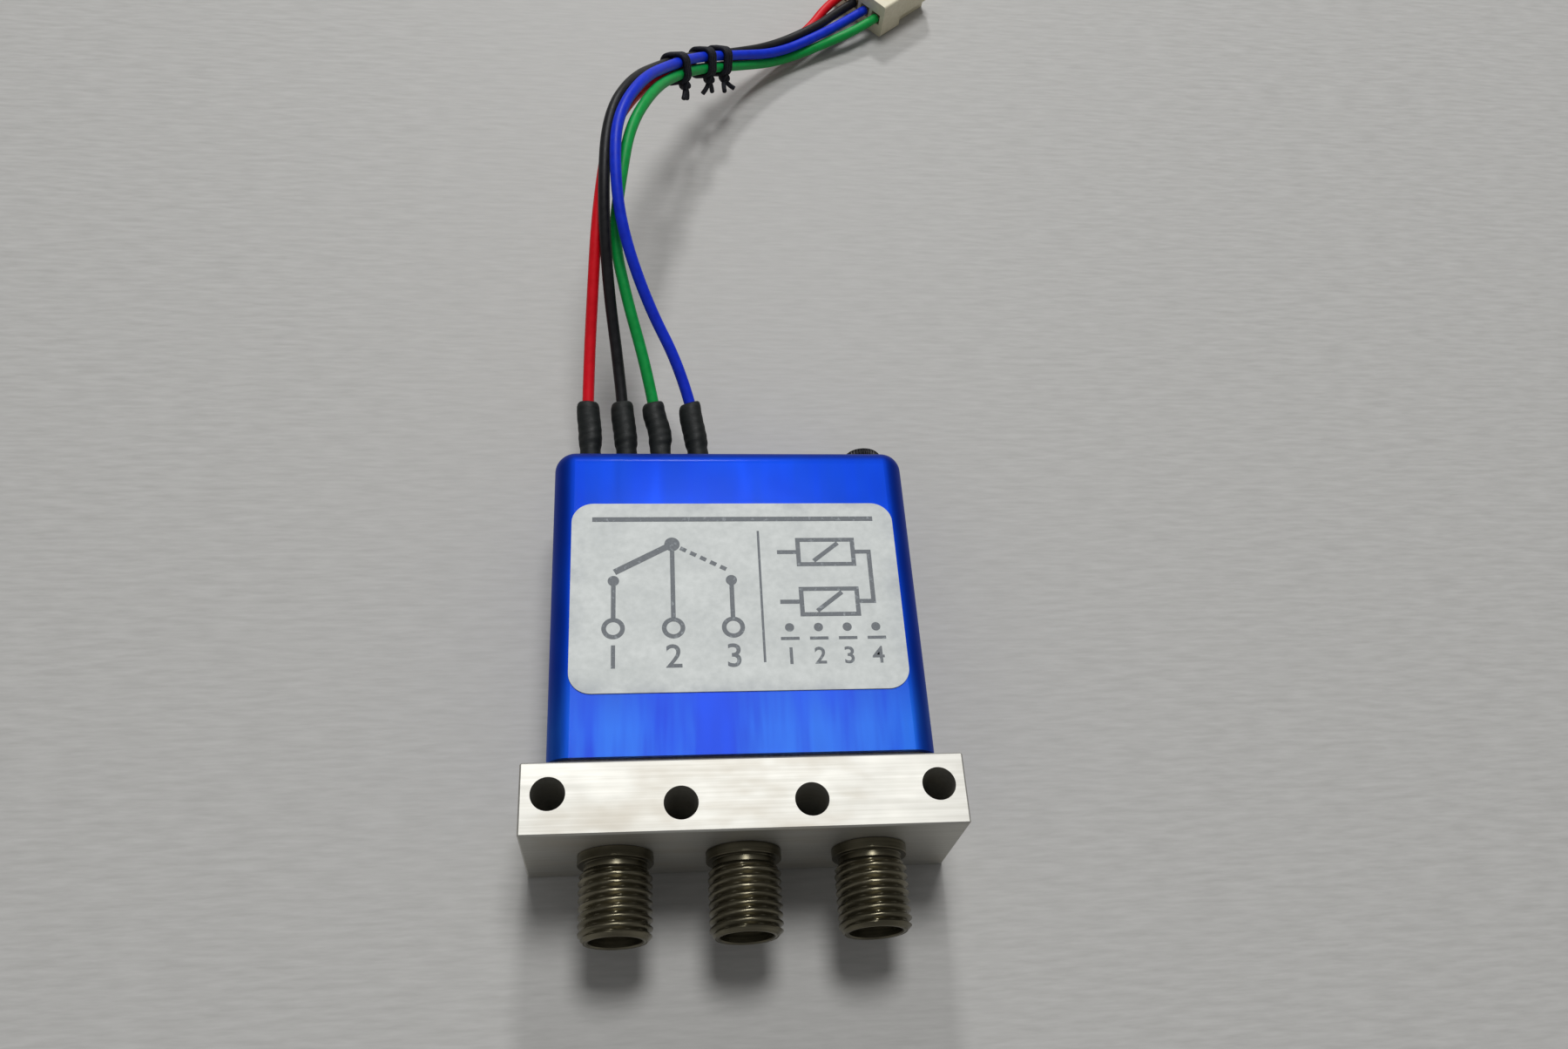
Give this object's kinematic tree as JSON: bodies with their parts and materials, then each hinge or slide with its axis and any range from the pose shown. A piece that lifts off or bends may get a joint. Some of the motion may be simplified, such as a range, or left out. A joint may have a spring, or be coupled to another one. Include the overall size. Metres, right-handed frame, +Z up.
{
  "type": "coaxial antenna switch",
  "caption": "Latching changeover coaxial relay: metal bar with threaded ports and panel holes, blue drawn can, insulated leads with a nylon plug.",
  "frame": {"origin": "middle of the connector bar's underside, the face that is bolted down or lies on a table", "axes": "+X left to right along the row of ports seen from above with the ports towards the viewer; +Y from the ports towards the wires; +Z up out of the labelled face"},
  "size_m": [0.0505, 0.1341, 0.0222],
  "materials": {
    "nickel_bar": "satin brushed nickel plate",
    "steel_plate": "satin",
    "port_steel": "passivated stainless steel, turned",
    "blue_anodise": "blue dyed anodise, satin",
    "label": "off-white vinyl, matt",
    "insulator": "white fluoropolymer",
    "gold_contact": "gold plate",
    "soft_iron": "zinc plated",
    "magnet": "sintered",
    "copper_wire": "enamelled copper",
    "bobbin": "moulded nylon",
    "rod_plastic": "moulded",
    "board": "solder mask",
    "chip": "moulded epoxy",
    "black_screw": "black oxide",
    "bead": "sealed bead",
    "sleeve": "shrunk polyolefin, matt",
    "wire_red": "extruded insulation",
    "wire_black": "extruded insulation",
    "wire_green": "extruded insulation",
    "wire_blue": "extruded insulation",
    "lacing": "waxed braid",
    "plug_nylon": "natural nylon"
  },
  "bodies": {
    "housing": {"rf_body": "nickel_bar", "rf_cover": "steel_plate", "rf_cover_screws": "port_steel", "yoke_frame": "soft_iron", "pivot_pin": "port_steel", "latch_magnet": "magnet", "bobbin_pins": "gold_contact", "driver_board": "board", "driver_chips": "chip", "board_spacers": "soft_iron", "board_screws": "port_steel", "cover_post": "soft_iron", "cover_screw": "black_screw", "cover_washer": "black_screw", "cover_can": "blue_anodise", "label_plate": "label", "terminal_pins": "gold_contact", "terminal_beads": "bead", "plug_housing": "plug_nylon", "plug_contacts": "gold_contact", "port_shell_1": "port_steel", "port_dielectric_1": "insulator", "port_contact_1": "gold_contact", "lacing_tie_1": "lacing", "port_shell_2": "port_steel", "port_dielectric_2": "insulator", "port_contact_2": "gold_contact", "lacing_tie_2": "lacing", "port_shell_3": "port_steel", "port_dielectric_3": "insulator", "port_contact_3": "gold_contact", "lacing_tie_3": "lacing", "return_spring_1": "port_steel", "coil_core_1": "soft_iron", "coil_bobbin_1": "bobbin", "coil_winding_1": "copper_wire", "return_spring_2": "port_steel", "coil_core_2": "soft_iron", "coil_bobbin_2": "bobbin", "coil_winding_2": "copper_wire", "sleeve_red": "sleeve", "wire_red": "wire_red", "sleeve_black": "sleeve", "wire_black": "wire_black", "sleeve_green": "sleeve", "wire_green": "wire_green", "sleeve_blue": "sleeve", "wire_blue": "wire_blue"},
    "rocker": {"rocker_armature": "soft_iron", "rocker_bushing": "gold_contact", "rocker_pads": "rod_plastic"},
    "contact_1": {"reed_1": "gold_contact", "pushrod_1": "rod_plastic"},
    "contact_2": {"reed_2": "gold_contact", "pushrod_2": "rod_plastic"}
  },
  "joints": [
    {"name": "rocker_tilt", "type": "hinge", "parent": "housing", "child": "rocker", "pos_m": [0, 0.0093, 0.00635], "axis": [0, 0, 1], "range_deg": [-5.16, 0]},
    {"name": "contact_1_slide", "type": "slide", "parent": "housing", "child": "contact_1", "axis": [0, 1, 0], "range_m": [0, 0.00051], "deforming": ["return_spring_1"]},
    {"name": "contact_2_slide", "type": "slide", "parent": "housing", "child": "contact_2", "axis": [0, 1, 0], "range_m": [-0.00051, 0], "deforming": ["return_spring_2"]}
  ],
  "couplings": [
    {"joint": "contact_1_slide", "follows": "rocker_tilt", "m_per_rad": -0.0055481},
    {"joint": "contact_2_slide", "follows": "rocker_tilt", "m_per_rad": 0.0055481}
  ]
}
